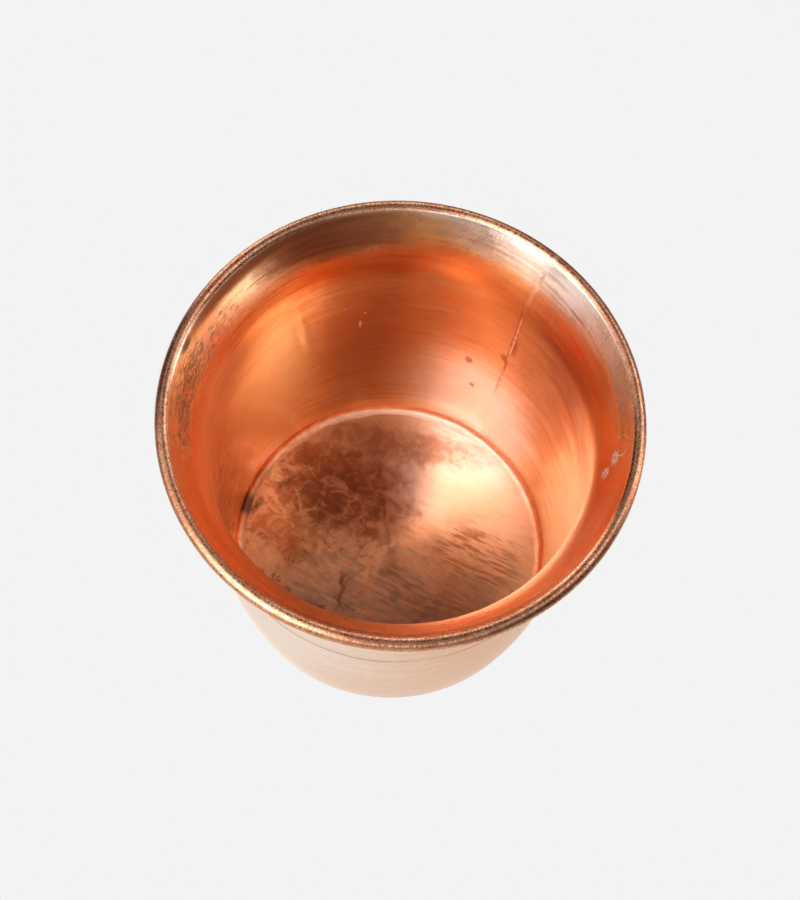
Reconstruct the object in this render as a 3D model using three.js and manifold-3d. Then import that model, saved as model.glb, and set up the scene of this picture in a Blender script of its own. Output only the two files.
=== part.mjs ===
// Small copper ritual water cup: a flared, straight-sided cup that stands on a flat base.
//
// The wall is one strip of copper sheet bent round and closed by a brazed upright seam.
// Its foot is turned in under the floor, and its mouth is flared and rolled outward and
// down round a ring of copper wire. The floor is a separate disc, dropped in from above,
// that rests on the turned-in foot and is brazed all round to the wall.
//
// Millimetres, +Z up, origin at the centre of the face that the cup stands on.

import * as THREE from 'three';
import { mergeVertices } from 'three/addons/utils/BufferGeometryUtils.js';
import Module from 'manifold-3d';

// ---------------------------------------------------------------- driving dimensions
const HEIGHT = 57.0;          // foot to the top of the rolled edge
const MOUTH_R = 35.0;         // outside radius of the rolled edge
const BEAD_R = 1.05;          // radius of the rolled edge's round section
const BEAD_SHEET = 0.4;       // sheet thickness where it goes round the wire
const BEAD_START = -56;       // where the flare runs into the roll, degrees outward from its top
const BEAD_END = 234;         // where the roll's free edge stops, measured the same way
const WIRE_R = 0.6;           // edge wire radius

const SHEET = 0.55;           // wall sheet thickness
const FOOT_R = 26.0;          // inside radius of the wall just above the foot's bend
const FOOT_BEND = 2.2;        // outside radius of the foot's bend
const FOOT_LEDGE_R = 20.5;    // inner radius of the turned-in foot

const FLOOR_SHEET = 0.7;      // floor disc thickness
const FLOOR_R = 25.55;        // floor disc radius at its upper face
const FIT = 0.05;             // brazed clearance between two pieces

const SEAM_AZIMUTH = 55;      // where the upright seam stands, degrees from +X towards +Y
const SEAM_WIDTH = 0.5;       // width of the brazing metal in the seam

const SEGMENTS = 48;          // facets round the cup
const COPPER = 0xc8744a;
const BRAZE = 0xd9a06c;

// ---------------------------------------------------------------- helpers
const wasm = await Module();
wasm.setup();

const deg = (a) => (a * Math.PI) / 180;
const polar = (c, r, a) => new THREE.Vector2(c.x + r * Math.sin(deg(a)), c.y + r * Math.cos(deg(a)));

// points on an arc about c, with angles counted outward from straight up
function arc(c, r, from, to, steps) {
  const out = [];
  for (let i = 0; i <= steps; i += 1) out.push(polar(c, r, from + ((to - from) * i) / steps));
  return out;
}

// turn a closed section (x = radius, y = height) round the Z axis
function turned(section) {
  const points = section.map((p) => new THREE.Vector2(p.x, p.y));
  const onAxis = points[0].x < 1e-6 && points[points.length - 1].x < 1e-6;
  if (!onAxis) points.push(points[0].clone());
  const geometry = new THREE.LatheGeometry(points, SEGMENTS);
  geometry.rotateX(Math.PI / 2);
  return closed(geometry);
}

// positions only, shared corners merged, faces pointing out
function closed(source) {
  const bare = source.clone();
  for (const name of Object.keys(bare.attributes)) if (name !== 'position') bare.deleteAttribute(name);
  const merged = mergeVertices(bare, 1e-4);
  const pos = merged.attributes.position;
  const corner = (i) => new THREE.Vector3().fromBufferAttribute(pos, i);
  const kept = [];
  let volume = 0;
  for (let i = 0; i < merged.index.count; i += 3) {
    const [a, b, c] = [0, 1, 2].map((k) => merged.index.getX(i + k));
    if (a === b || b === c || c === a) continue;
    kept.push(a, b, c);
    volume += corner(a).dot(corner(b).cross(corner(c))) / 6;
  }
  if (volume < 0) for (let i = 0; i < kept.length; i += 3) [kept[i + 1], kept[i + 2]] = [kept[i + 2], kept[i + 1]];
  merged.setIndex(kept);
  return merged;
}

function solid(geometry) {
  return new wasm.Manifold(
    new wasm.Mesh({
      numProp: 3,
      vertProperties: new Float32Array(geometry.attributes.position.array),
      triVerts: new Uint32Array(geometry.index.array),
    }),
  );
}

function geometryOf(manifold) {
  const mesh = manifold.getMesh();
  const geometry = new THREE.BufferGeometry();
  geometry.setAttribute('position', new THREE.BufferAttribute(new Float32Array(mesh.vertProperties), 3));
  geometry.setIndex(Array.from(mesh.triVerts));
  return closed(geometry);
}

function piece(name, geometry, colour, roughness) {
  geometry.computeVertexNormals();
  const mesh = new THREE.Mesh(
    geometry,
    new THREE.MeshStandardMaterial({ color: colour, roughness, metalness: 1.0 }),
  );
  mesh.name = name;
  return mesh;
}

// ---------------------------------------------------------------- the wall's section
const bead = new THREE.Vector2(MOUTH_R - BEAD_R, HEIGHT - BEAD_R);
const bendCentre = new THREE.Vector2(FOOT_R + SHEET - FOOT_BEND, FOOT_BEND);
const runIn = polar(bead, BEAD_R, BEAD_START);
const slope = new THREE.Vector2(Math.cos(deg(BEAD_START)), -Math.sin(deg(BEAD_START)));

// inside face: drawn in towards the foot, a nearly straight middle, then the flare
const inside = new THREE.Path();
inside.moveTo(FOOT_R, FOOT_BEND);
inside.bezierCurveTo(26.42, 5.6, 27.42, 10.4, 27.56, 15.0);
inside.bezierCurveTo(27.77, 22.0, 27.99, 35.0, 28.22, 45.0);
inside.bezierCurveTo(28.38, 49.6, runIn.x - 4.4 * slope.x, runIn.y - 4.4 * slope.y, runIn.x, runIn.y);

// four steps up the foot, three up the middle and eight through the flare
const stations = [];
[4, 3, 8].forEach((steps, k) => {
  for (let i = k === 0 ? 0 : 1; i <= steps; i += 1) {
    const curve = inside.curves[k];
    const along = curve.getTangent(i / steps);
    stations.push({ at: curve.getPoint(i / steps), out: new THREE.Vector2(along.y, -along.x), k, t: i / steps });
  }
});
// the sheet thins a little through the flare, where it was stretched
const thickness = (s) => (s.k < 2 ? SHEET : SHEET + (BEAD_SHEET - SHEET) * s.t);

const innerFace = stations.map((s) => s.at.clone());
const outerFace = stations.map((s) => s.at.clone().addScaledVector(s.out, thickness(s)));

const wallSection = [
  new THREE.Vector2(FOOT_LEDGE_R, 0),
  ...arc(bendCentre, FOOT_BEND, 180, 90, 5).slice(0, -1),
  ...outerFace.slice(0, -1),
  ...arc(bead, BEAD_R - BEAD_SHEET, BEAD_START, BEAD_END, 9),
  ...arc(bead, BEAD_R, BEAD_END, 90, 6),
  ...arc(bead, BEAD_R, 90, 0, 4).slice(1),
  ...arc(bead, BEAD_R, 0, BEAD_START, 2).slice(1, -1),
  ...innerFace.reverse(),
  ...arc(bendCentre, FOOT_BEND - SHEET, 90, 180, 5).slice(1),
  new THREE.Vector2(FOOT_LEDGE_R, SHEET),
];

// ---------------------------------------------------------------- wall and its seam
const band = solid(turned(wallSection));

// an upright slab through one side of the wall, at the seam
function seamSlab(width) {
  const slab = new THREE.BoxGeometry(20, width, HEIGHT + 10);
  slab.translate(28, 0, HEIGHT / 2);
  slab.rotateZ(deg(SEAM_AZIMUTH));
  return solid(closed(slab));
}

const cupWall = geometryOf(band.subtract(seamSlab(SEAM_WIDTH + 2 * FIT)));
const sideSeam = geometryOf(band.intersect(seamSlab(SEAM_WIDTH)));

// ---------------------------------------------------------------- edge wire
const rimWire = turned(arc(bead, WIRE_R, 0, 360, 10).slice(0, -1));

// ---------------------------------------------------------------- floor disc
const floorLow = SHEET + FIT;
const floorTop = floorLow + FLOOR_SHEET;
const bendInner = FOOT_BEND - SHEET;
// radius of the wall's inner face at a height inside the foot's bend
const bendAt = (z) => bendCentre.x + Math.sqrt(Math.max(0, bendInner ** 2 - (bendCentre.y - z) ** 2));
const baseDisc = turned([
  new THREE.Vector2(0, floorLow),
  new THREE.Vector2(bendAt(floorLow) - 3 * FIT, floorLow),
  new THREE.Vector2(bendAt(floorLow + 0.3) - 2 * FIT, floorLow + 0.3),
  new THREE.Vector2(FLOOR_R, floorTop),
  new THREE.Vector2(0, floorTop),
]);

// ---------------------------------------------------------------- fillet of brazing metal
const toe = floorTop + FIT;
const fillet = turned([
  new THREE.Vector2(FLOOR_R - 0.95, toe),
  new THREE.Vector2(bendAt(toe) - 2 * FIT, toe),
  new THREE.Vector2(bendAt(toe + 0.45) - 2 * FIT, toe + 0.45),
  new THREE.Vector2(FOOT_R - 2 * FIT, toe + 1.0),
  new THREE.Vector2(FOOT_R - 0.28, toe + 0.62),
  new THREE.Vector2(FOOT_R - 0.6, toe + 0.24),
  new THREE.Vector2(FOOT_R - 0.98, toe + 0.1),
]);

// ---------------------------------------------------------------- the cup
const cup = new THREE.Group();
cup.name = 'ritual_water_cup';
cup.add(
  piece('cup_wall', cupWall, COPPER, 0.28),
  piece('side_seam_braze', sideSeam, BRAZE, 0.4),
  piece('rim_wire', rimWire, COPPER, 0.45),
  piece('base_disc', baseDisc, COPPER, 0.42),
  piece('base_braze_ring', fillet, BRAZE, 0.35),
);

export default cup;
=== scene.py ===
import math

import bpy
import numpy as np
from mathutils import Matrix


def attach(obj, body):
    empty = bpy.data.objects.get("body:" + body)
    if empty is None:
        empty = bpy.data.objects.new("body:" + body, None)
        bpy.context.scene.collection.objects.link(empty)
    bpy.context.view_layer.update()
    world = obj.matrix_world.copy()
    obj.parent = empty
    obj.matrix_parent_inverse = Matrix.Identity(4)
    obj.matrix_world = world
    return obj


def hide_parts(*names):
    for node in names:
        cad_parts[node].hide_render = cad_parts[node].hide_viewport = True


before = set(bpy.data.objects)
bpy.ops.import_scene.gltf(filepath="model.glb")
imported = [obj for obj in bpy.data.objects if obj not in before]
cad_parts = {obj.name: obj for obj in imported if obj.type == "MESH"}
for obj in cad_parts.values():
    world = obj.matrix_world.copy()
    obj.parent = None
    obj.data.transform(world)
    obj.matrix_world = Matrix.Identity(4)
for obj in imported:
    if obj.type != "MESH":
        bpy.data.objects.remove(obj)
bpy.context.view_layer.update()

rng = np.random.default_rng(20)
MM = 0.001

# ------------------------------------------------------------------ dimensions of the cup, millimetres
HEIGHT, MOUTH_R = 57.0, 35.0
BEAD_R, BEAD_SHEET, BEAD_START, BEAD_END = 1.05, 0.4, -56.0, 234.0
WIRE_R = 0.6
SHEET, FOOT_R, FOOT_BEND, FOOT_LEDGE_R = 0.55, 26.0, 2.2, 20.5
FLOOR_LOW, FLOOR_TOP, FLOOR_R = 0.6, 1.3, 25.55
BEAD_C = np.array([MOUTH_R - BEAD_R, HEIGHT - BEAD_R])
BEND_C = np.array([FOOT_R + SHEET - FOOT_BEND, FOOT_BEND])


def bead_dir(a):
    a = np.radians(a)
    return np.stack([np.sin(a), np.cos(a)], -1)


def smooth(x, a, b):
    t = np.clip((np.asarray(x, float) - a) / (b - a), 0, 1)
    return t * t * (3 - 2 * t)


def bump(x, c, w):
    return np.exp(-(((np.asarray(x, float) - c) / w) ** 2))


def turn(a, b):
    """angle from b to a, degrees, -180 to 180"""
    return (np.asarray(a, float) - b + 180.0) % 360.0 - 180.0


class Waves:
    """A smooth field round the cup, from a sum of cosines. It closes on itself after a turn."""

    def __init__(self, n, around, up, seed):
        r = np.random.default_rng(seed)
        self.k = np.round(r.normal(0, around, n))
        self.m = r.normal(0, up, n)
        self.p = r.uniform(0, 2 * math.pi, n)
        self.s = math.sqrt(2.0 / n)

    def __call__(self, deg, z):
        t = np.radians(np.asarray(deg, float))[..., None]
        z = np.asarray(z, float)[..., None]
        return self.s * np.cos(self.k * t + self.m * z + self.p).sum(-1)


# ------------------------------------------------------------------ the wall's section
def bezier(pts, n):
    t = np.linspace(0, 1, n)[:, None]
    p = [np.array(q, float) for q in pts]
    return (1 - t) ** 3 * p[0] + 3 * (1 - t) ** 2 * t * p[1] + 3 * (1 - t) * t * t * p[2] + t ** 3 * p[3]


def even(pts, step):
    """the same line with points at about that spacing"""
    d = np.concatenate([[0], np.cumsum(np.hypot(*np.diff(pts, axis=0).T))])
    s = np.linspace(0, d[-1], max(2, int(round(d[-1] / step)) + 1))
    return np.stack([np.interp(s, d, pts[:, 0]), np.interp(s, d, pts[:, 1])], 1)


run_in = BEAD_C + BEAD_R * bead_dir(BEAD_START)
slope = np.array([math.cos(math.radians(BEAD_START)), -math.sin(math.radians(BEAD_START))])
INNER = np.vstack([
    bezier([(FOOT_R, FOOT_BEND), (27.06, 8.1), (27.66, 14.2), (27.77, 20.0)], 200)[:-1],
    bezier([(27.77, 20.0), (27.92, 28.0), (28.04, 37.0), (28.22, 45.0)], 200)[:-1],
    bezier([(28.22, 45.0), (28.38, 49.6), run_in - 4.4 * slope, run_in], 300),
])
_d = np.gradient(INNER, axis=0)
_n = np.stack([_d[:, 1], -_d[:, 0]], 1)
_n /= np.linalg.norm(_n, axis=1)[:, None]
_thin = SHEET + (BEAD_SHEET - SHEET) * np.clip((INNER[:, 1] - 45) / (run_in[1] - 45), 0, 1)
OUTER = INNER + _n * _thin[:, None]


def arc_pts(c, r, a0, a1, n):
    return c + r * bead_dir(np.linspace(a0, a1, n))


def section():
    """Closed loop round the sheet. Each point: radius, height, roll angle, side (0 inside, 1 outside)."""
    out = []

    def add(pts, roll, side):
        roll = np.broadcast_to(roll, len(pts))
        for p, q in zip(pts, roll):
            out.append((p[0], p[1], float(q), float(side)))

    add([(FOOT_LEDGE_R + 0.12, 0.0), (21.6, 0.0), (22.8, 0.0), (23.7, 0.0)], 300, 1)
    add(arc_pts(BEND_C, FOOT_BEND, 180, 90, 11)[:-1], 300, 1)
    low = OUTER[(OUTER[:, 1] >= FOOT_BEND) & (OUTER[:, 1] < 27.4)]
    mid = OUTER[(OUTER[:, 1] >= 27.4) & (OUTER[:, 1] < 30.2)]
    top = OUTER[OUTER[:, 1] >= 30.2]
    add(even(low, 1.3)[:-1], 300, 1)
    add(even(mid, 0.13), 300, 1)
    add(even(top, 0.75)[:-1], 300, 1)
    add(arc_pts(BEAD_C, BEAD_R - BEAD_SHEET, BEAD_START, BEAD_END, 20), 300, 1)
    mid_r, half = BEAD_R - BEAD_SHEET / 2, BEAD_SHEET / 2
    e = bead_dir(BEAD_END)
    t = np.array([e[1], -e[0]])
    for k in (-0.45, 0.0, 0.45):  # the sheet's free edge, rounded
        add([BEAD_C + (mid_r + half * k * 1.7) * e + t * 0.1 * math.cos(k * 2.2)], 236 if k > 0 else 300, 1)
    a = np.linspace(BEAD_END, BEAD_START, 46)
    add(BEAD_C + BEAD_R * bead_dir(a), a, 0.5)
    add(even(INNER[::-1], 0.62)[1:], -60, 0)
    add(arc_pts(BEND_C, FOOT_BEND - SHEET, 90, 180, 9)[1:], -60, 0)
    add([(23.2, SHEET), (22.0, SHEET), (FOOT_LEDGE_R + 0.12, SHEET), (FOOT_LEDGE_R, 0.43), (FOOT_LEDGE_R, 0.12)], -60, 1)
    return np.array(out)


SECTION = section()


# ------------------------------------------------------------------ how the real cup departs from a true turned shape
def seam_at(z):
    """azimuth of the upright seam at a height, degrees"""
    return np.interp(z, [0, 5, 12, 24.4, 35.4, 46.6, 57], [58.4, 58.4, 57.7, 55.8, 54.4, 53.3, 52.9])


_ew = Waves(9, 0, 0.55, 5)
_ew2 = Waves(9, 0, 0.9, 6)


def seam_half(z):
    """half width of the seam at a height, degrees"""
    z = np.asarray(z, float)
    return 0.62 + 0.10 * _ew(0 * z, z) * 0.5 + 0.0 * z


_sag = Waves(12, 2.6, 0.06, 11)     # gentle hand-made unevenness
_dent = Waves(26, 9.0, 0.22, 12)    # finer unevenness, seen only in the reflections


def wall_shift(az, z, side):
    """radial shift of the sheet, mm, at an azimuth and height"""
    low = smooth(z, 2, 9)
    rim = smooth(z, 40, 56)
    s = low * (0.05 * _sag(az, z) + 0.012 * _dent(az, z)) * (1 - 0.75 * rim)
    # the ripple on the left of the inside
    a = turn(az, 127.6 + 0.20 * (z - 35))
    s = s + low * bump(z, 36, 8.0) * (-0.030 * bump(a, 1.2, 1.1) + 0.034 * bump(a, -1.2, 1.1))
    # out of round at the mouth, never wider than the true circle
    t = np.radians(az)
    s = s - rim * (0.05 + 0.03 * np.cos(2 * t + 1.0) + 0.02 * np.cos(3 * t - 0.4))
    return s


def groove_depth(az, z):
    wander = 0.12 * np.cos(np.radians(az) * 2 + 0.7) + 0.05 * np.cos(np.radians(az) * 5 + 2)
    return 0.07 * bump(z, 28.7 + wander, 0.17) + 0.02 * bump(z, 29.6 + wander * 0.6, 0.22)


# ------------------------------------------------------------------ meshes
def make(name, verts, faces, body="root", node=None, sharp=None, attrs=None):
    me = bpy.data.meshes.new(name)
    me.from_pydata((np.asarray(verts) * MM).tolist(), [], faces)
    me.validate()
    me.update()
    for p in me.polygons:
        p.use_smooth = True
    ob = bpy.data.objects.new(name, me)
    bpy.context.scene.collection.objects.link(ob)
    if sharp is not None:
        flags = me.attributes.get("sharp_edge") or me.attributes.new("sharp_edge", "BOOLEAN", "EDGE")
        ev = np.zeros(len(me.edges) * 2, int)
        me.edges.foreach_get("vertices", ev)
        ev = ev.reshape(-1, 2)
        flags.data.foreach_set("value", sharp(ev))
    for key, values in (attrs or {}).items():
        at = me.attributes.new(key, "FLOAT", "POINT")
        at.data.foreach_set("value", np.asarray(values, np.float32))
    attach(ob, body)
    if node:
        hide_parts(node)
    return ob


def outward(ob):
    import bmesh
    bm = bmesh.new()
    bm.from_mesh(ob.data)
    bmesh.ops.recalc_face_normals(bm, faces=bm.faces)
    if bm.calc_volume(signed=True) < 0:
        bmesh.ops.reverse_faces(bm, faces=bm.faces)
    bm.to_mesh(ob.data)
    bm.free()


def band(cols, az_of, shift_of, closed):
    """Grid of the section swept round. az_of(j, z) gives azimuths; returns vertices and faces."""
    n = len(SECTION)
    r0, z0, roll, side = SECTION.T
    V, A = [], []
    for j in range(cols):
        az = az_of(j, z0)
        s = shift_of(j, az)
        r = r0 + s[0]
        z = z0 + s[1]
        V.append(np.stack([r * np.cos(np.radians(az)), r * np.sin(np.radians(az)), z], 1))
        A.append(az)
    V = np.vstack(V)
    F = []
    for j in range(cols - 1):
        a, b = j * n, (j + 1) * n
        for i in range(n):
            k = (i + 1) % n
            F.append((a + i, a + k, b + k, b + i))
    return V, F


N = len(SECTION)
r0, z0, roll0, side0 = SECTION.T
is_roll = (roll0 > -57) & (roll0 < 235)


def shared_shift(az):
    """shift common to wall and seam"""
    inner = side0 < 0.25
    s = wall_shift(az, z0, side0)
    g = np.where((side0 > 0.75) & (z0 > 20) & (z0 < 40), groove_depth(az, z0), 0)
    foot = z0 < 2.2
    s = np.where(foot, 0, s)
    return s - g, np.zeros_like(s)


# wall: from one edge of the seam right round to the other, finer near the seam
t_cols = np.concatenate([[0, .0004, .0010, .0018], np.linspace(0.003, 0.997, 372), [.9982, .9990, .9996, 1]])
NC = len(t_cols)


def wall_az(j, z):
    s, h = seam_at(z), seam_half(z)
    return s + h + t_cols[j] * (360 - 2 * h)


V, F = band(NC, wall_az, lambda j, az: shared_shift(az), False)


def cap_faces(first):
    """faces that close the section at one end, the section's outline cut into triangles"""
    out_i = [i for i in range(N) if side0[i] > 0.75]
    from mathutils.geometry import tessellate_polygon
    from mathutils import Vector
    tris = tessellate_polygon([[Vector((r0[i], z0[i], 0)) for i in range(N)]])
    return [tuple(first + i for i in t) for t in tris]


caps = cap_faces(0) + cap_faces((NC - 1) * N)
wall = make("cup_wall_sheet", V, F + caps, node="cup_wall",
            attrs={"roll": np.tile(roll0, NC), "side": np.tile(side0, NC)},
            sharp=lambda e: ((e[:, 0] < N) & (e[:, 1] < N)) | ((e[:, 0] >= (NC - 1) * N) & (e[:, 1] >= (NC - 1) * N)))
outward(wall)

# seam: a narrow strip of brazing metal that fills the slot and stands a little proud inside
SEAM_COLS = np.array([-1, -0.86, -0.66, -0.45, -0.2, 0.05, 0.3, 0.55, 0.78, 1.0])
_pit = Waves(14, 0, 1.6, 31)


def seam_az(j, z):
    return seam_at(z) + SEAM_COLS[j] * seam_half(z)


def seam_shift(j, az):
    base, dz = shared_shift(az)
    u = SEAM_COLS[j]
    inner = side0 < 0.25
    h = smooth(z0, 16, 26) * (1 - smooth(z0, 44.5, 48.5))
    rough = 1 + 0.35 * _ew2(0 * z0, z0)
    ridge = 0.048 * math.exp(-((u - 0.12) / 0.42) ** 2) - 0.022 * math.exp(-((u + 0.74) / 0.20) ** 2)
    edge = 1 - abs(u) ** 8
    proud = np.where(inner, -ridge * h * rough * edge, 0)
    out_ridge = np.where((side0 > 0.75) & (z0 > 3) & (z0 < 50), 0.05 * edge * math.exp(-(u / 0.5) ** 2), 0)
    return base + proud + out_ridge, dz


V, F = band(len(SEAM_COLS), seam_az, seam_shift, False)
NS = len(SEAM_COLS)
seam = make("side_seam_strip", V, F + cap_faces(0) + cap_faces((NS - 1) * N), node="side_seam_braze",
            attrs={"roll": np.tile(roll0, NS), "side": np.tile(side0, NS), "across": np.repeat(SEAM_COLS, N)},
            sharp=lambda e: ((e[:, 0] < N) & (e[:, 1] < N)) | ((e[:, 0] >= (NS - 1) * N) & (e[:, 1] >= (NS - 1) * N)))
outward(seam)


def lathe(points, segs, shift=None):
    """closed section turned round, with an optional shift(az, r, z) -> (dr, dz) for each point"""
    P = np.asarray(points, float)
    n = len(P)
    V = []
    for j in range(segs):
        az = 360.0 * j / segs
        r, z = P[:, 0].copy(), P[:, 1].copy()
        if shift is not None:
            dr, dz = shift(az, r, z)
            r, z = r + dr, z + dz
        V.append(np.stack([r * math.cos(math.radians(az)), r * math.sin(math.radians(az)), z], 1))
    F = []
    for j in range(segs):
        a, b = j * n, ((j + 1) % segs) * n
        for i in range(n):
            k = (i + 1) % n
            F.append((a + i, a + k, b + k, b + i))
    return np.vstack(V), F


# edge wire
V, F = lathe(arc_pts(BEAD_C, WIRE_R, 0, 360, 21)[:-1], 240, lambda az, r, z: (-0.09 + 0 * r, 0 * z))
wire = make("edge_wire_ring", V, F, node="rim_wire")
outward(wire)

# floor disc: a polar grid with a centre point above and below
_fl = Waves(16, 2.2, 0.16, 41)
_fl2 = Waves(20, 7, 0.5, 42)


def disc():
    segs = 256
    top = np.concatenate([np.linspace(0.7, 24.5, 40), [24.9, 25.2, 25.42]])
    prof = [(r, FLOOR_TOP) for r in top] + [(FLOOR_R, FLOOR_TOP - 0.04), (FLOOR_R, 1.1), (25.3, 0.95), (24.96, FLOOR_LOW + 0.05), (24.9, FLOOR_LOW)]
    prof += [(r, FLOOR_LOW) for r in (22, 19, 16, 12, 8, 4, 0.7)]
    P = np.array(prof)
    nt = len(top)
    V = []
    for j in range(segs):
        az = 360.0 * j / segs
        r, z = P[:, 0], P[:, 1].copy()
        rise = 0.035 * _fl(az + 0 * r, r) + 0.006 * _fl2(az + 0 * r, r)
        fade = smooth(r, 0.2, 5) * (1 - smooth(r, 21, 24.6))
        z[:nt] += (rise * fade)[:nt]
        V.append(np.stack([r * math.cos(math.radians(az)), r * math.sin(math.radians(az)), z], 1))
    V = np.vstack(V)
    n = len(P)
    F = []
    for j in range(segs):
        a, b = j * n, ((j + 1) % segs) * n
        for i in range(n - 1):
            F.append((a + i, a + i + 1, b + i + 1, b + i))
    c0 = len(V)
    V = np.vstack([V, [[0, 0, FLOOR_TOP]], [[0, 0, FLOOR_LOW]]])
    for j in range(segs):
        a, b = j * n, ((j + 1) % segs) * n
        F.append((c0, b, a))
        F.append((c0 + 1, a + n - 1, b + n - 1))
    return V, F


V, F = disc()
floor_disc = make("floor_disc", V, F, node="base_disc")
outward(floor_disc)

# fillet of brazing metal in the corner
_fr = Waves(14, 6, 0, 51)
_fr2 = Waves(18, 22, 0, 52)
FIL = np.array([(24.50, 1.305), (24.78, 1.325), (25.02, 1.365), (25.24, 1.43), (25.44, 1.525), (25.62, 1.66), (25.76, 1.82), (25.86, 2.02),
                (25.93, 2.22), (26.01, 2.42), (26.05, 2.30), (26.0, 1.75), (25.75, 1.45), (25.4, 1.30), (25.0, 1.29), (24.75, 1.29)])


def fillet_shift(az, r, z):
    w = 0.16 * _fr(az, 0.0) + 0.05 * _fr2(az, 0.0)
    k = np.zeros(len(r))
    k[:6] = [1, 1, 0.85, 0.6, 0.35, 0.15]
    k[-3:] = [0, 0.4, 0.9]
    lift = np.zeros(len(r))
    lift[1:5] = 0.02 * _fr2(az + 40, 0.0)
    return -w * k, lift


V, F = lathe(FIL, 360, fillet_shift)
fillet = make("floor_braze_fillet", V, F, node="base_braze_ring",
              sharp=lambda e: np.isin(e[:, 0] % len(FIL), (0, 9)) & (e[:, 0] % len(FIL) == e[:, 1] % len(FIL)))
outward(fillet)


# ------------------------------------------------------------------ shader helpers
class Tree:
    def __init__(self, tree):
        self.t = tree
        self.n = tree.nodes
        self.l = tree.links

    def put(self, socket, value):
        if isinstance(value, bpy.types.NodeSocket):
            self.l.new(value, socket)
        elif value is not None:
            socket.default_value = value

    def math(self, op, a, b=None, c=None, clamp=False):
        n = self.n.new("ShaderNodeMath")
        n.operation = op
        n.use_clamp = clamp
        for s, v in zip(n.inputs, (a, b, c)):
            self.put(s, v)
        return n.outputs[0]

    def add(self, a, b): return self.math("ADD", a, b)
    def sub(self, a, b): return self.math("SUBTRACT", a, b)
    def mul(self, a, b): return self.math("MULTIPLY", a, b)
    def lerp(self, f, a, b):
        return self.math("MULTIPLY_ADD", f, self.sub(b, a), a)

    def vmath(self, op, a, b=None, scale=None):
        n = self.n.new("ShaderNodeVectorMath")
        n.operation = op
        self.put(n.inputs[0], a)
        if b is not None:
            self.put(n.inputs[1], b)
        if scale is not None:
            self.put(n.inputs["Scale"], scale)
        return n.outputs["Value"] if op in ("LENGTH", "DOT_PRODUCT", "DISTANCE") else n.outputs["Vector"]

    def xyz(self, v):
        n = self.n.new("ShaderNodeSeparateXYZ")
        self.put(n.inputs[0], v)
        return n.outputs

    def vec(self, x, y, z):
        n = self.n.new("ShaderNodeCombineXYZ")
        for s, v in zip(n.inputs, (x, y, z)):
            self.put(s, v)
        return n.outputs[0]

    def noise(self, vector, scale, detail=3.0, rough=0.55, dist=0.0, lac=2.0):
        n = self.n.new("ShaderNodeTexNoise")
        self.put(n.inputs["Vector"], vector)
        n.inputs["Scale"].default_value = scale
        n.inputs["Detail"].default_value = detail
        n.inputs["Roughness"].default_value = rough
        n.inputs["Lacunarity"].default_value = lac
        n.inputs["Distortion"].default_value = dist
        return n.outputs["Fac"]

    def voronoi(self, vector, scale, rand=1.0, feature="F1"):
        n = self.n.new("ShaderNodeTexVoronoi")
        n.feature = feature
        self.put(n.inputs["Vector"], vector)
        n.inputs["Scale"].default_value = scale
        n.inputs["Randomness"].default_value = rand
        return n.outputs

    def step(self, x, a, b, lo=0.0, hi=1.0, kind="SMOOTHSTEP"):
        n = self.n.new("ShaderNodeMapRange")
        n.interpolation_type = kind
        self.put(n.inputs["Value"], x)
        self.put(n.inputs["From Min"], a)
        self.put(n.inputs["From Max"], b)
        self.put(n.inputs["To Min"], lo)
        self.put(n.inputs["To Max"], hi)
        return n.outputs["Result"]

    def mix(self, f, a, b, kind="MIX"):
        n = self.n.new("ShaderNodeMix")
        n.data_type = "RGBA"
        n.blend_type = kind
        self.put(n.inputs[0], f)
        self.put(n.inputs[6], a if isinstance(a, bpy.types.NodeSocket) else (*a, 1.0))
        self.put(n.inputs[7], b if isinstance(b, bpy.types.NodeSocket) else (*b, 1.0))
        return n.outputs[2]

    def blob(self, p, centre, radius, inner=0.0, squash=(1, 1, 1), noise=None, wobble=0.0):
        """1 inside a soft ball round a point of the object, 0 outside; millimetres"""
        d = self.vmath("SUBTRACT", p, tuple(centre))
        d = self.vmath("MULTIPLY", d, tuple(squash))
        d = self.vmath("LENGTH", d)
        if noise is not None:
            d = self.add(d, self.mul(self.sub(noise, 0.5), wobble))
        return self.step(d, radius, inner)

    def attr(self, name):
        n = self.n.new("ShaderNodeAttribute")
        n.attribute_name = name
        return n.outputs["Fac"]

    def bump(self, height, strength, distance, normal=None):
        n = self.n.new("ShaderNodeBump")
        n.inputs["Strength"].default_value = strength
        n.inputs["Distance"].default_value = distance
        self.put(n.inputs["Height"], height)
        if normal is not None:
            self.put(n.inputs["Normal"], normal)
        return n.outputs[0]


def new_material(name):
    m = bpy.data.materials.new(name)
    m.use_nodes = True
    t = Tree(m.node_tree)
    bsdf = m.node_tree.nodes["Principled BSDF"]
    bsdf.inputs["Metallic"].default_value = 1.0
    co = t.n.new("ShaderNodeTexCoord").outputs["Object"]
    p = t.vmath("SCALE", co, scale=1000.0)  # millimetres
    return m, t, bsdf, p


def point(az, r, z):
    return (r * math.cos(math.radians(az)), r * math.sin(math.radians(az)), z)


# ------------------------------------------------------------------ finishes
# copper as it looks bright, gone orange, and stained by the fire of brazing; the pale, cream and gold tints are
# painted highlights and painted glows
HIGHLIGHT_PALE = (1.0, 0.84, 0.71)
HIGHLIGHT_CREAM = (1.0, 0.96, 0.92)
GLOW_GOLD = (1.0, 0.89, 0.64)
ORANGE = (0.975, 0.67, 0.385)
DEEP = (0.935, 0.535, 0.24)
BURNT = (0.84, 0.40, 0.17)
GREY = (0.72, 0.55, 0.46)
DARK_BROWN = (0.44, 0.21, 0.12)
DASH = (0.46, 0.18, 0.08)
SOOT = (0.16, 0.085, 0.06)


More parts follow.
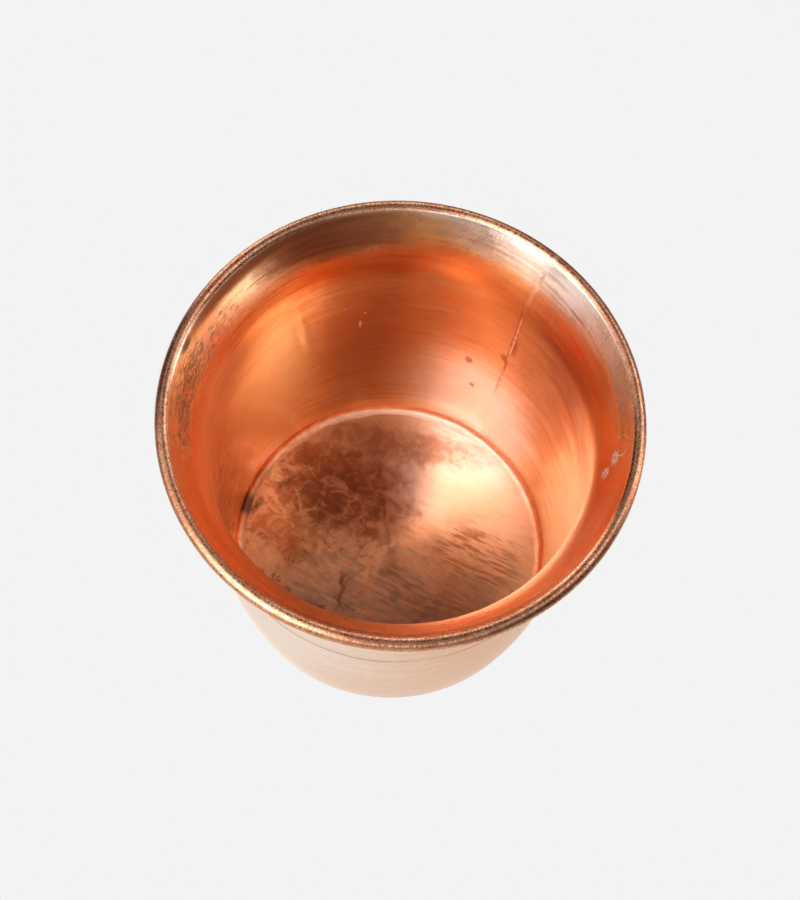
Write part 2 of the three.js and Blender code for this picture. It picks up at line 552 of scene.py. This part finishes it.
def around(t, p):
    """azimuth in radians and radius in millimetres of a point on the cup"""
    x, y, z = t.xyz(p)
    return t.math("ARCTAN2", y, x), t.math("SQRT", t.add(t.mul(x, x), t.mul(y, y))), z


def spun(t, p, along, up, seed, detail=3.0, rough=0.6):
    """noise drawn out round the cup, as turning and rubbing leave it; along and up are its sizes in mm"""
    x, y, z = t.xyz(p)
    az, r, _ = around(t, p)
    c = t.vec(t.mul(x, 1.0 / along), t.mul(y, 1.0 / along), t.math("MULTIPLY_ADD", z, 1.0 / up, seed * 7.31))
    return t.noise(c, 1.0, detail, rough)


def zone(t, az, z, where, size, soft=0.5, wobble=None, amount=0.0, tilt=0.0):
    """1 inside a soft oval on the wall: where is (azimuth in degrees, height), size is (half width in degrees, half height in mm)"""
    a = t.math("WRAP", t.sub(az, math.radians(where[0])), math.pi, -math.pi)
    h = t.sub(z, where[1])
    if tilt:
        h = t.sub(h, t.mul(a, tilt))
    u = t.mul(a, 1.0 / math.radians(size[0]))
    v = t.mul(h, 1.0 / size[1])
    d = t.math("SQRT", t.add(t.mul(u, u), t.mul(v, v)))
    if wobble is not None:
        d = t.add(d, t.mul(t.sub(wobble, 0.5), amount))
    return t.step(d, 1.0 + soft, 1.0 - soft)


def brushed(t, bsdf, amount):
    """marks that run round the axis spread a reflection across them"""
    tan = t.n.new("ShaderNodeTangent")
    tan.direction_type = "RADIAL"
    tan.axis = "Z"
    t.l.new(tan.outputs[0], bsdf.inputs["Tangent"])
    bsdf.inputs["Anisotropic"].default_value = amount
    bsdf.inputs["Anisotropic Rotation"].default_value = 0.25


def dots(t, p, scale, rim, seed=0.0, sparse=0.5):
    """small round pits: 1 in a pit; sparse is the share of cells that hold one"""
    q = t.vmath("ADD", p, (seed, seed * 1.7, -seed))
    v = t.voronoi(q, scale)
    pick = t.step(t.xyz(v["Color"])[0], sparse, sparse - 0.02)
    return t.mul(t.step(v["Distance"], rim, rim * 0.45), pick)


def wall_finish(name):
    m, t, b, p = new_material(name)
    az, r, z = around(t, p)
    side, roll = t.attr("side"), t.attr("roll")
    cloud = t.noise(p, 0.15, 4.0, 0.6, 0.5)
    mottle = t.noise(p, 0.55, 4.0, 0.65, 0.3)
    grain = t.noise(p, 3.2, 3.0, 0.65)
    streak = spun(t, p, 18, 0.55, 1)
    broad = spun(t, p, 26, 1.7, 4)
    lines = spun(t, p, 9, 0.20, 3, 2.0)
    hair = spun(t, p, 5, 0.10, 6, 1.0)

    # ---- inside: copper gone orange, with cloudy fire stain drawn out round the cup
    def zones(rows, wobble, amount):
        total = 0.0
        for where, size, soft, share in rows:
            total = t.math("MAXIMUM", total, t.mul(zone(t, az, z, where, size, soft, wobble, amount), share))
        return total

    tone = t.add(t.mul(streak, 0.55), t.mul(cloud, 0.45))
    col = t.mix(t.step(tone, 0.40, 0.62), ORANGE, DEEP)
    rough = t.step(tone, 0.38, 0.62, 0.20, 0.27)
    # burnt to a deeper red-brown across the middle of the back and low on the flare at the right
    burnt = zones((((103, 29), (19, 12), 0.55, 0.90), ((95, 49), (24, 4), 0.55, 0.80),
                   ((22, 43), (18, 10), 0.5, 1.0), ((38, 28), (14, 13), 0.6, 0.35),
                   ((-176, 30), (14, 26), 0.6, 0.55)), broad, 1.3)
    col = t.mix(t.mul(burnt, t.step(streak, 0.68, 0.38, 0.50, 1.0)), col, BURNT)
    col = t.mix(t.mul(t.step(lines, 0.44, 0.66), 0.30), col, (0.84, 0.42, 0.19))
    dim = zones((((20, 44), (19, 8), 0.55, 0.80), ((36, 27), (12, 11), 0.6, 0.25), ((74, 31), (11, 7), 0.6, 0.30)), broad, 1.0)
    col = t.mix(dim, col, (0.62, 0.33, 0.18))
    # painted glow: a gold-white tint painted where bright reflected glows fall on the left, up the right and round
    # the front below the flare
    painted_glow = zones((((143, 24), (18, 18), 0.6, 1.0), ((-3, 24), (22, 30), 0.45, 0.95),
                  ((-45, 48.5), (48, 4.5), 0.5, 0.90), ((77, 47), (12, 3.2), 0.6, 0.75)), broad, 0.9)
    painted_glow = t.mul(painted_glow, t.step(lines, 0.72, 0.50, 0.72, 1.0))
    col = t.mix(painted_glow, col, GLOW_GOLD)
    # painted highlight: a near-white strip painted up the right wall and along the front below the flare
    strip = zones((((-6, 26), (12, 24), 0.5, 1.0), ((-40, 48.0), (40, 3.2), 0.6, 0.7)), broad, 0.5)
    col = t.mix(strip, col, (1.0, 0.97, 0.82))
    # painted highlights: copper painted pale where highlights fall on the flare, round the mouth and low on the left,
    # partly rubbed-bright copper
    pale = zones((((147, 53.0), (19, 2.3), 0.5, 1.0), ((52, 54.3), (24, 2.3), 0.5, 1.0), ((-13, 53.0), (19, 3.0), 0.5, 0.70),
                  ((0, 55.4), (32, 0.9), 0.6, 0.55), ((-110, 55.6), (60, 0.7), 0.6, 0.5),
                  ((157, 6.0), (5, 2.2), 0.5, 0.8), ((147, 4.4), (6, 1.6), 0.5, 0.8)), streak, 0.5)
    pale = t.mul(pale, t.step(lines, 0.72, 0.50, 0.62, 1.0))
    col = t.mix(pale, col, HIGHLIGHT_PALE)
    # painted highlight: near-white cream painted where the brightest reflections fall, low at the back right and on
    # the flare at the right
    cream_highlight = zones((((64, 10), (24, 13), 0.6, 1.0), ((56, 56.4), (29, 1.0), 0.5, 0.9), ((50, 54.6), (20, 1.9), 0.6, 0.75), ((-14, 53.4), (14, 2.0), 0.6, 0.5)), broad, 0.7)
    col = t.mix(cream_highlight, col, HIGHLIGHT_CREAM)
    rough = t.sub(rough, t.mul(t.math("MAXIMUM", pale, painted_glow), 0.04))
    # brown on the flare at the back left and low on the left wall, and grey where it was scoured with something
    # coarse
    brown = zones((((113, 54.3), (22, 2.9), 0.5, 1.0), ((140, 56.1), (26, 1.0), 0.5, 1.0),
                   ((-80, 56.1), (40, 0.6), 0.5, 0.6), ((184, 15), (16, 12), 0.6, 0.40),
                   ((172, 5), (12, 3.5), 0.6, 0.5)), t.add(t.mul(broad, 0.6), t.mul(mottle, 0.4)), 1.1)
    col = t.mix(t.mul(brown, t.step(streak, 0.75, 0.35, 0.75, 1.0)), col, DARK_BROWN)
    rough = t.add(rough, t.mul(brown, 0.12))
    x, y, _ = t.xyz(p)
    scour = t.noise(t.vec(t.add(t.mul(x, 0.32), t.mul(y, 0.30)), t.sub(t.mul(x, 2.6), t.mul(y, 2.9)), t.mul(z, 1.0)), 1.0, 3.0, 0.6)
    grey = zones((((71.5, 54.6), (10.5, 2.3), 0.35, 0.85), ((19, 55.2), (17, 1.3), 0.5, 0.80)), mottle, 0.35)
    col = t.mix(t.mul(grey, t.step(scour, 0.62, 0.42, 0.45, 1.0)), col, GREY)
    rough = t.add(rough, t.mul(grey, 0.08))
    # dark dashes left by the turning, thick on the left and thin elsewhere
    left = t.math("MAXIMUM", zone(t, az, z, (148, 50), (34, 7), 0.6), t.mul(zone(t, az, z, (88, 36), (16, 4), 0.6), 0.75))
    where = t.lerp(left, 0.70, 0.59)
    dash = t.step(lines, where, t.add(where, 0.07))
    dash = t.mul(dash, t.step(mottle, 0.40, 0.60))
    col = t.mix(t.mul(dash, 0.75), col, DASH)
    # pits and dark flakes on the flare
    flake = t.noise(t.vec(t.mul(y, 0.85), t.mul(z, 4.6), t.mul(x, 2.0)), 1.0, 5.0, 0.78)
    speck = t.mul(t.step(flake, 0.47, 0.55), zone(t, az, z, (179, 53.7), (15, 1.7), 0.45, mottle, 1.6))
    speck = t.math("MAXIMUM", speck, t.mul(t.step(flake, 0.54, 0.60), zone(t, az, z, (163, 52.4), (13, 1.7), 0.5, mottle, 1.2)))
    speck = t.math("MAXIMUM", speck, t.mul(zone(t, az, z, (166.5, 56.2), (2.4, 0.55), 0.5, grain, 1.4), 0.9))
    speck = t.math("MAXIMUM", speck, t.mul(t.mul(dots(t, p, 3.3, 0.36, 9.0, 0.5), 0.55), zone(t, az, z, (40, 54.3), (14, 1.8), 0.4, mottle, 0.8)))
    speck = t.math("MAXIMUM", speck, t.mul(dots(t, p, 0.40, 0.08, 5.0, 0.22), 0.5))
    col = t.mix(t.mul(speck, 0.80), col, (0.26, 0.10, 0.055))
    rough = t.add(rough, t.mul(speck, 0.2))
    # single marks: brown spots right of the middle, two short scratches left of it
    spot = zone(t, az, z, (68.6, 23.1), (1.35, 1.0), 0.35, mottle, 0.5)
    spot = t.math("MAXIMUM", spot, zone(t, az, z, (65.9, 15.4), (0.9, 0.45), 0.5, mottle, 0.8))
    spot = t.math("MAXIMUM", spot, zone(t, az, z, (56.2, 30.4), (1.5, 1.1), 0.5, grain, 1.5))
    spot = t.math("MAXIMUM", spot, zone(t, az, z, (53.6, 35.5), (1.3, 2.6), 0.6, grain, 1.6))
    col = t.mix(t.mul(spot, 0.75), col, (0.52, 0.25, 0.14))
    nick = zone(t, az, z, (111.8, 36.5), (1.1, 0.22), 0.4, grain, 0.8, -18.0)
    nick = t.math("MAXIMUM", nick, zone(t, az, z, (106.7, 30.5), (0.42, 1.0), 0.4, grain, 0.8))
    nick = t.math("MAXIMUM", nick, zone(t, az, z, (105.2, 34.0), (0.35, 0.35), 0.4, grain, 0.8))
    col = t.mix(t.mul(nick, 0.8), col, (1.0, 0.86, 0.74))
    rough = t.add(rough, t.mul(nick, 0.25))
    # whitish residue on the flare at the right, with a fine curl beside it
    crust = zone(t, az, z, (-4.4, 53.5), (2.3, 0.65), 0.5, grain, 2.2)
    crust = t.math("MAXIMUM", crust, zone(t, az, z, (-8.3, 51.9), (1.7, 0.75), 0.5, grain, 2.2))
    crust = t.mul(crust, t.step(t.noise(p, 3.2, 5.0, 0.8), 0.46, 0.56))
    u = t.mul(t.sub(az, math.radians(-1.6)), 31.0)
    v = t.mul(t.sub(z, 54.5), 1.4)
    curl = t.math("ABSOLUTE", t.sub(t.math("SQRT", t.add(t.mul(u, u), t.mul(v, v))), t.add(1.1, t.mul(mottle, 0.9))))
    curl = t.mul(t.step(curl, 0.11, 0.03), t.mul(t.step(v, -1.5, -0.6), t.step(u, 1.9, 1.2)))
    crust = t.math("MAXIMUM", crust, t.mul(curl, 0.9))
    col = t.mix(t.mul(crust, 0.9), col, (0.97, 0.94, 0.82))
    rough = t.add(rough, t.mul(crust, 0.3))

    # ---- the rolled edge: matte, pitted and mauve, rubbed smooth along its inner corner, with a painted cream highlight line there
    on_bead = t.mul(t.step(roll, -50.0, -36.0), t.step(roll, 236.0, 228.0))
    pit = t.step(grain, 0.50, 0.66)
    bead = t.mix(t.step(mottle, 0.35, 0.65), (0.93, 0.53, 0.355), (0.80, 0.40, 0.245))
    bead = t.mix(t.mul(pit, 0.36), bead, (0.40, 0.18, 0.11))
    col = t.mix(on_bead, col, bead)
    rough = t.lerp(on_bead, rough, t.step(grain, 0.35, 0.65, 0.20, 0.36))
    lip = t.mul(t.step(t.math("ABSOLUTE", t.add(roll, 50.0)), 9.0, 3.0), t.step(side, 0.1, 0.4))
    lip = t.mul(lip, t.step(mottle, 0.30, 0.50, 0.5, 1.0))
    # painted highlight: the line is painted strongest on the left, where the light catches it
    lip = t.mul(lip, t.add(0.45, t.mul(zone(t, az, z, (165, 56), (30, 20), 0.3), 0.55)))
    col = t.mix(lip, col, HIGHLIGHT_CREAM)
    rough = t.lerp(lip, rough, 0.14)

    # ---- outside: bright, with faint turning marks and a scribed double line
    out = t.mul(t.step(side, 0.6, 0.9), 1.0)
    fresh = t.mix(t.step(streak, 0.30, 0.75), (0.99, 0.83, 0.71), (0.97, 0.78, 0.64))
    warm = zone(t, az, z, (-25, 24), (62, 60), 0.5, mottle, 0.5)
    fresh = t.mix(t.mul(warm, 0.95), fresh, (0.88, 0.54, 0.34))
    wander = t.add(t.mul(t.math("COSINE", t.math("MULTIPLY_ADD", az, 2.0, 0.7)), 0.12), t.mul(t.math("COSINE", t.math("MULTIPLY_ADD", az, 5.0, 2.0)), 0.05))
    low = t.math("ABSOLUTE", t.sub(t.sub(z, 28.7), wander))
    high = t.math("ABSOLUTE", t.sub(t.sub(z, 29.6), t.mul(wander, 0.6)))
    rule = t.math("MAXIMUM", t.mul(t.step(low, 0.26, 0.10), 0.75), t.mul(t.step(high, 0.22, 0.08), 0.30))
    rule = t.mul(rule, t.step(spun(t, p, 12, 3.0, 8), 0.30, 0.50, 0.45, 1.0))
    fresh = t.mix(rule, fresh, (0.55, 0.27, 0.17))
    drift = t.mul(zone(t, az, z, (-84, 9), (34, 8.5), 0.6, mottle, 1.2), t.step(streak, 0.30, 0.62, 0.35, 1.0))
    fresh = t.mix(t.mul(drift, 0.7), fresh, (0.95, 0.62, 0.40))
    fresh = t.mix(t.mul(dots(t, p, 0.5, 0.10, 2.0, 0.3), 0.8), fresh, (0.42, 0.18, 0.10))
    col = t.mix(out, col, fresh)
    rough = t.lerp(out, rough, t.step(streak, 0.35, 0.7, 0.18, 0.22))
    dull = t.mul(out, t.step(z, 1.2, 0.2))
    col = t.mix(dull, col, (0.62, 0.38, 0.27))
    rough = t.lerp(dull, rough, 0.42)

    t.put(b.inputs["Base Color"], col)
    t.put(b.inputs["Roughness"], rough)
    brushed(t, b, 0.95)
    relief = t.add(t.mul(lines, 0.35), t.mul(hair, 0.35))
    relief = t.add(relief, t.mul(t.mul(on_bead, grain), 1.1))
    relief = t.add(relief, t.mul(crust, 2.0))
    relief = t.sub(relief, t.mul(speck, 1.5))
    t.put(b.inputs["Normal"], t.bump(relief, 0.5, 0.00003))
    return m


def seam_finish(name):
    m, t, b, p = new_material(name)
    az, r, z = around(t, p)
    side = t.attr("side")
    streak = spun(t, p, 12, 0.5, 1)
    mottle = t.noise(p, 0.9, 4.0, 0.65, 0.3)
    col = t.mix(t.step(mottle, 0.35, 0.68), (0.96, 0.68, 0.48), (0.84, 0.46, 0.27))
    u = t.attr("across")
    line = t.mul(t.step(u, -0.35, -0.85), t.mul(t.step(z, 20.0, 28.0), t.step(z, 48.0, 45.0)))
    col = t.mix(t.mul(line, t.step(mottle, 0.35, 0.6, 0.20, 0.55)), col, (0.66, 0.34, 0.19))
    spots = t.math("MAXIMUM", zone(t, az, z, (57.0, 15.5), (0.9, 0.7), 0.5, mottle, 1.0), zone(t, az, z, (58.2, 7.2), (0.9, 0.7), 0.5, mottle, 1.0))
    spots = t.math("MAXIMUM", spots, t.mul(zone(t, az, z, (55.2, 28.5), (0.7, 2.6), 0.5, mottle, 2.0), 0.8))
    col = t.mix(t.mul(spots, 0.8), col, (0.50, 0.17, 0.08))
    # painted highlight: near-white low on the seam, matching the painted highlight on the wall beside it
    low = t.step(z, 22.0, 14.0)
    col = t.mix(low, col, (1.0, 0.93, 0.87))
    # painted highlight: pale high on the seam, matching the painted highlights on the flare beside it
    high = t.step(z, 46.0, 50.0)
    col = t.mix(high, col, (0.99, 0.87, 0.77))
    out = t.step(side, 0.6, 0.9)
    col = t.mix(out, col, t.mix(t.step(streak, 0.4, 0.7), (0.97, 0.76, 0.58), (0.92, 0.68, 0.50)))
    bead = t.step(side, 0.3, 0.45)
    bead = t.mul(bead, t.step(side, 0.7, 0.55))
    col = t.mix(bead, col, (0.88, 0.60, 0.47))
    t.put(b.inputs["Base Color"], col)
    t.put(b.inputs["Roughness"], t.lerp(bead, t.step(mottle, 0.3, 0.7, 0.19, 0.27), 0.34))
    brushed(t, b, 0.9)
    t.put(b.inputs["Normal"], t.bump(t.mul(t.noise(p, 1.6, 3.0, 0.6), t.step(z, 14.0, 26.0)), 0.5, 0.00004))
    return m


def wire_finish(name):
    m, t, b, p = new_material(name)
    drawn = spun(t, p, 14, 0.12, 2, 2.0)
    mottle = t.noise(p, 0.7, 4.0, 0.6)
    col = t.mix(t.step(drawn, 0.35, 0.65), (0.90, 0.60, 0.44), (0.78, 0.46, 0.32))
    col = t.mix(t.step(mottle, 0.55, 0.75), col, (0.45, 0.22, 0.13))
    t.put(b.inputs["Base Color"], col)
    t.put(b.inputs["Roughness"], t.step(mottle, 0.3, 0.7, 0.30, 0.48))
    t.put(b.inputs["Normal"], t.bump(drawn, 0.4, 0.00002))
    return m


def patch(t, x, y, centre, size, turned=0.0, soft=0.5, wobble=None, amount=0.0):
    """1 inside a soft oval on the floor, millimetres; turned in degrees"""
    c, s = math.cos(math.radians(turned)), math.sin(math.radians(turned))
    dx, dy = t.sub(x, centre[0]), t.sub(y, centre[1])
    u = t.add(t.mul(dx, c / size[0]), t.mul(dy, s / size[0]))
    v = t.add(t.mul(dx, -s / size[1]), t.mul(dy, c / size[1]))
    d = t.math("SQRT", t.add(t.mul(u, u), t.mul(v, v)))
    if wobble is not None:
        d = t.add(d, t.mul(t.sub(wobble, 0.5), amount))
    return t.step(d, 1.0 + soft, 1.0 - soft)


def floor_finish(name):
    m, t, b, p = new_material(name)
    x, y, z = t.xyz(p)
    cloud = t.noise(p, 0.11, 5.0, 0.62, 1.2)
    mottle = t.noise(t.vmath("ADD", p, (31.0, 7.0, 0.0)), 0.30, 5.0, 0.66, 0.8)
    fine = t.noise(p, 1.6, 4.0, 0.65, 0.2)
    # scrubbing marks lie across the floor, falling to the right
    c, s = math.cos(math.radians(-22)), math.sin(math.radians(-22))
    along = t.add(t.mul(x, c), t.mul(y, s))
    across = t.add(t.mul(x, -s), t.mul(y, c))
    scrub = t.noise(t.vec(t.mul(along, 0.16), t.mul(across, 0.80), 3.0), 1.0, 3.0, 0.55, 0.5)
    scrub2 = t.noise(t.vec(t.mul(along, 0.22), t.mul(across, 1.5), 9.0), 1.0, 3.0, 0.6, 0.3)

    blotch = t.noise(t.vmath("ADD", p, (5.0, 40.0, 0.0)), 0.40, 5.0, 0.66, 0.7)
    col = t.mix(t.step(mottle, 0.30, 0.70), (0.98, 0.62, 0.455), (0.93, 0.50, 0.33))
    col = t.mix(t.mul(t.step(blotch, 0.50, 0.66), 0.50), col, (0.70, 0.32, 0.19))
    # painted highlight: a pale peach patch painted where the floor's bright wedge of reflection falls, right of the
    # middle towards the back
    pale = patch(t, x, y, (12.0, 12.5), (12.5, 10), -30, 0.5, cloud, 0.8)
    col = t.mix(t.mul(pale, 0.9), col, (0.99, 0.75, 0.69))
    spotlit = patch(t, x, y, (12.2, 12.0), (6, 5), -30, 0.7, mottle, 0.6)
    col = t.mix(t.mul(spotlit, 0.7), col, (0.97, 0.60, 0.48))
    pink = patch(t, x, y, (-16, -9), (9, 8), -40, 0.6, mottle, 1.2)
    col = t.mix(t.mul(pink, 0.7), col, (0.98, 0.68, 0.54))
    # cloudy red-brown fire stain, heaviest left of the middle towards the back
    red = patch(t, x, y, (-10.0, 10.0), (12, 8.5), -25, 0.45, mottle, 1.6)
    red = t.math("MAXIMUM", red, t.mul(patch(t, x, y, (-18.5, 5), (6, 9), 25, 0.5, mottle, 2.0), 0.9))
    red = t.math("MAXIMUM", red, t.mul(patch(t, x, y, (-4, -18), (17, 5), 0, 0.6, mottle, 1.2), 0.35))
    red = t.math("MAXIMUM", red, t.mul(patch(t, x, y, (1, 19), (14, 3.2), -4, 0.5, mottle, 1.6), 0.7))
    red = t.mul(red, t.step(blotch, 0.34, 0.56, 0.55, 1.0))
    col = t.mix(red, col, (0.50, 0.18, 0.085))
    deep = t.mul(patch(t, x, y, (-11.5, 8.5), (8.5, 5.0), -20, 0.5, mottle, 1.8), t.step(t.add(t.mul(blotch, 0.6), t.mul(scrub, 0.4)), 0.40, 0.58))
    col = t.mix(t.mul(deep, 0.75), col, (0.34, 0.12, 0.06))
    front = patch(t, x, y, (12, -10.0), (8.5, 5.0), 8, 0.6, cloud, 1.0)
    col = t.mix(t.mul(front, 0.65), col, (0.64, 0.31, 0.19))
    streaks = t.mul(patch(t, x, y, (15.0, -0.5), (7.5, 5.5), -22, 0.5, mottle, 1.0), t.step(t.add(t.mul(scrub2, 0.7), t.mul(scrub, 0.3)), 0.44, 0.58))
    col = t.mix(t.mul(streaks, 0.85), col, (0.47, 0.21, 0.12))
    fine_marks = t.mul(t.step(scrub2, 0.50, 0.72), 0.22)
    col = t.mix(fine_marks, col, (0.66, 0.33, 0.20))
    # thin wandering veins on the left, and a short one at the front
    vein = t.math("ABSOLUTE", t.sub(t.noise(p, 0.12, 5.0, 0.60, 0.6), 0.5))
    vein = t.mul(t.step(vein, 0.022, 0.002), t.step(blotch, 0.38, 0.55))
    vein = t.mul(vein, patch(t, x, y, (-14, 1), (12, 17), 0, 0.35))
    short = t.math("ABSOLUTE", t.sub(t.add(x, 7.5), t.mul(t.sub(t.noise(t.vec(0.0, t.mul(y, 0.30), 4.0), 1.0, 3.0, 0.6), 0.5), 4.0)))
    short = t.mul(t.step(short, 0.60, 0.10), patch(t, x, y, (-7.5, -8.4), (3.0, 3.2), 0, 0.5, mottle, 1.0))
    vein = t.math("MAXIMUM", vein, short)
    col = t.mix(t.mul(vein, 0.65), col, (0.46, 0.15, 0.065))
    # black residue near the left edge
    black = patch(t, x, y, (-18.9, 9.7), (1.9, 0.7), 42, 0.55, fine, 2.2)
    black = t.math("MAXIMUM", black, patch(t, x, y, (-23.4, 5.0), (1.8, 0.6), 58, 0.55, fine, 2.2))
    black = t.mul(black, t.step(fine, 0.36, 0.60, 0.25, 1.0))
    col = t.mix(t.mul(black, 0.85), col, (0.20, 0.10, 0.07))
    under = t.step(z, 1.10, 0.80)
    col = t.mix(under, col, t.mix(t.step(cloud, 0.38, 0.62), (0.90, 0.60, 0.44), (0.78, 0.46, 0.32)))
    t.put(b.inputs["Base Color"], col)
    rough = t.step(t.add(t.mul(mottle, 0.5), t.mul(scrub2, 0.5)), 0.35, 0.65, 0.30, 0.40)
    rough = t.add(rough, t.mul(red, 0.05))
    t.put(b.inputs["Roughness"], t.add(rough, t.mul(black, 0.2)))
    brushed(t, b, 0.6)
    t.put(b.inputs["Normal"], t.bump(t.add(t.mul(scrub2, 0.8), t.mul(fine, 0.4)), 0.4, 0.00003))
    return m


def fillet_finish(name):
    m, t, b, p = new_material(name)
    az, r, z = around(t, p)
    mottle = t.noise(p, 0.6, 4.0, 0.65, 0.4)
    col = t.mix(t.step(mottle, 0.35, 0.65), (0.90, 0.57, 0.42), (0.76, 0.42, 0.29))
    # painted highlight: the fillet painted pale at the back, where the corner ring catches the light
    back = zone(t, az, z, (70, 1.6), (42, 9), 0.55)
    col = t.mix(t.mul(back, 0.75), col, (0.98, 0.80, 0.73))
    burnt = zone(t, az, z, (164, 1.6), (14, 9), 0.4, mottle, 1.4)
    col = t.mix(t.mul(burnt, 0.75), col, (0.50, 0.24, 0.15))
    soot = zone(t, az, z, (168, 1.6), (4, 9), 0.5, mottle, 1.0)
    col = t.mix(t.mul(soot, 0.85), col, SOOT)
    t.put(b.inputs["Base Color"], col)
    t.put(b.inputs["Roughness"], t.step(mottle, 0.3, 0.7, 0.42, 0.55))
    t.put(b.inputs["Normal"], t.bump(t.noise(p, 1.2, 3.0, 0.6), 0.5, 0.00006))
    return m


wall.data.materials.append(wall_finish("wall_copper_finish"))
seam.data.materials.append(seam_finish("seam_braze_finish"))
wire.data.materials.append(wire_finish("wire_copper_finish"))
floor_disc.data.materials.append(floor_finish("floor_copper_finish"))
fillet.data.materials.append(fillet_finish("floor_braze_finish"))

# ------------------------------------------------------------------ floor and light
CONTRAST = 1.3
PAPER = 0.9192  # the pale floor as the camera sees it
# soft panels round the cup: azimuth, elevation, half width (degrees), strength
PANELS = [
    (-171.8, 14, 10, 0.74),
    (-155.5, 14, 10, 0.69),
    (8.2, 14, 10, 0.64),
    (122.7, 14, 10, 2.4),
    (-171, 25, 10.5, 0.63),
    (-153, 25, 10.5, 1.21),
    (-135, 25, 10.5, 2.09),
    (-99, 25, 10.5, 0.58),
    (9, 25, 10.5, 0.33),
    (99, 25, 10.5, 0.88),
    (117, 25, 10.5, 1.38),
    (171, 25, 10.5, 1),
    (-170, 36, 11, 0.59),
    (-150, 36, 11, 2.75),
    (-130, 36, 11, 2.59),
    (-110, 36, 11, 0.98),
    (-90, 36, 11, 1.48),
    (-70, 36, 11, 1.01),
    (30, 36, 11, 2.24),
    (50, 36, 11, 1.74),
    (70, 36, 11, 0.38),
    (90, 36, 11, 1.93),
    (170, 36, 11, 0.45),
    (-123.8, 47, 11, 2.71),
    (-56.2, 47, 11, 0.81),
    (-165, 58, 11.5, 1.82),
    (-135, 58, 11.5, 1.87),
    (-15, 58, 11.5, 0.7),
    (15, 58, 11.5, 2.07),
    (135, 58, 11.5, 0.86),
    (165, 58, 11.5, 0.69),
    (-157.5, 69, 12, 0.64),
    (-112.5, 69, 12, 0.68),
    (-22.5, 69, 12, 0.37),
    (-135, 81, 13, 0.15),
    (-45, 81, 13, 0.14),
    (14, 9, 8, 2.2),
]

me = bpy.data.meshes.new("studio_floor")
S = 3.0
me.from_pydata([(-S, -S, 0), (S, -S, 0), (S, S, 0), (-S, S, 0)], [], [(0, 1, 2, 3)])
stage = bpy.data.objects.new("studio_floor", me)
bpy.context.scene.collection.objects.link(stage)
m = bpy.data.materials.new("studio_floor_finish")
m.use_nodes = True
t = Tree(m.node_tree)
t.n.clear()
co = t.n.new("ShaderNodeTexCoord").outputs["Object"]
fx, fy, fz = t.xyz(co)
far = t.step(t.math("SQRT", t.add(t.mul(fx, fx), t.mul(fy, fy))), 0.11, 0.20)
left = t.math("MINIMUM", fy, 0.0)  # further off, the floor is brightest on the near side
dim = t.mul(t.math("DIVIDE", t.mul(left, left), t.math("MAXIMUM", t.add(t.mul(fx, fx), t.mul(fy, fy)), 1e-6)), 0.6)
dim = t.math("MAXIMUM", dim, 0.20)
seen = t.n.new("ShaderNodeLightPath").outputs["Is Camera Ray"]
glow = t.lerp(t.mul(far, t.sub(1.0, seen)), PAPER, dim)
em = t.n.new("ShaderNodeEmission")
t.put(em.inputs["Strength"], glow)
clear = t.n.new("ShaderNodeBsdfTransparent")
both = t.n.new("ShaderNodeMixShader")
t.l.new(t.n.new("ShaderNodeNewGeometry").outputs["Backfacing"], both.inputs[0])
t.l.new(em.outputs[0], both.inputs[1])
t.l.new(clear.outputs[0], both.inputs[2])
t.l.new(both.outputs[0], t.n.new("ShaderNodeOutputMaterial").inputs[0])
me.materials.append(m)

world = bpy.data.worlds.new("studio")
bpy.context.scene.world = world
world.use_nodes = True
t = Tree(world.node_tree)
t.n.clear()
way = t.n.new("ShaderNodeTexCoord").outputs["Generated"]


def panel(az, el, wide, strength):
    a, e = math.radians(az), math.radians(el)
    d = t.vmath("DOT_PRODUCT", way, (math.cos(e) * math.cos(a), math.cos(e) * math.sin(a), math.sin(e)))
    return t.step(d, math.cos(math.radians(wide * 1.5)), math.cos(math.radians(wide * 0.3)), 0.0, strength)


light = 0.0
for row in PANELS:
    light = t.add(light, panel(*row))
below = t.step(t.xyz(way)[2], 0.0, -0.02, 0.0, 0.7)
light = t.add(light, below)
light = t.add(light, t.step(t.xyz(way)[2], 0.30, 0.05, 0.0, 0.10))  # a faint glow round the horizon
seen = t.n.new("ShaderNodeLightPath").outputs["Is Camera Ray"]
bg = t.n.new("ShaderNodeBackground")
bg.inputs["Color"].default_value = (1, 1, 1, 1)
t.put(bg.inputs["Strength"], t.lerp(seen, light, PAPER))
t.l.new(bg.outputs[0], t.n.new("ShaderNodeOutputWorld").inputs[0])

# ------------------------------------------------------------------ camera
cam = bpy.data.cameras.new("camera")
camera = bpy.data.objects.new("camera", cam)
bpy.context.scene.collection.objects.link(camera)
bpy.context.scene.camera = camera
cam.sensor_width = 36.0
cam.lens = 1788.0615 * 36.0 / 900.0
cam.clip_start, cam.clip_end = 0.01, 20
right = np.array([0.995506273588805, 0.0866380596815496, 0.038224414448721385])
down = np.array([0.09469107130000433, -0.9147095954273332, -0.3928612440152654])
ahead = np.array([0.0009275027702742632, 0.3947153438210639, -0.9188029914463876])
M = Matrix.Identity(4)
for i in range(3):
    M[i][0], M[i][1], M[i][2] = right[i], -down[i], -ahead[i]
M[0][3], M[1][3], M[2][3] = 0.0, -0.10489477768789752, 0.28733242859018156
camera.matrix_world = M

sc = bpy.context.scene
sc.view_settings.view_transform = "Standard"
sc.view_settings.look = "None"
sc.view_settings.gamma = 1.0 / CONTRAST
# a copper bowl lights itself from wall to wall, so its reflections are followed further than usual
sc.cycles.max_bounces = 16
sc.cycles.glossy_bounces = 14
sc.cycles.blur_glossy = 0.0
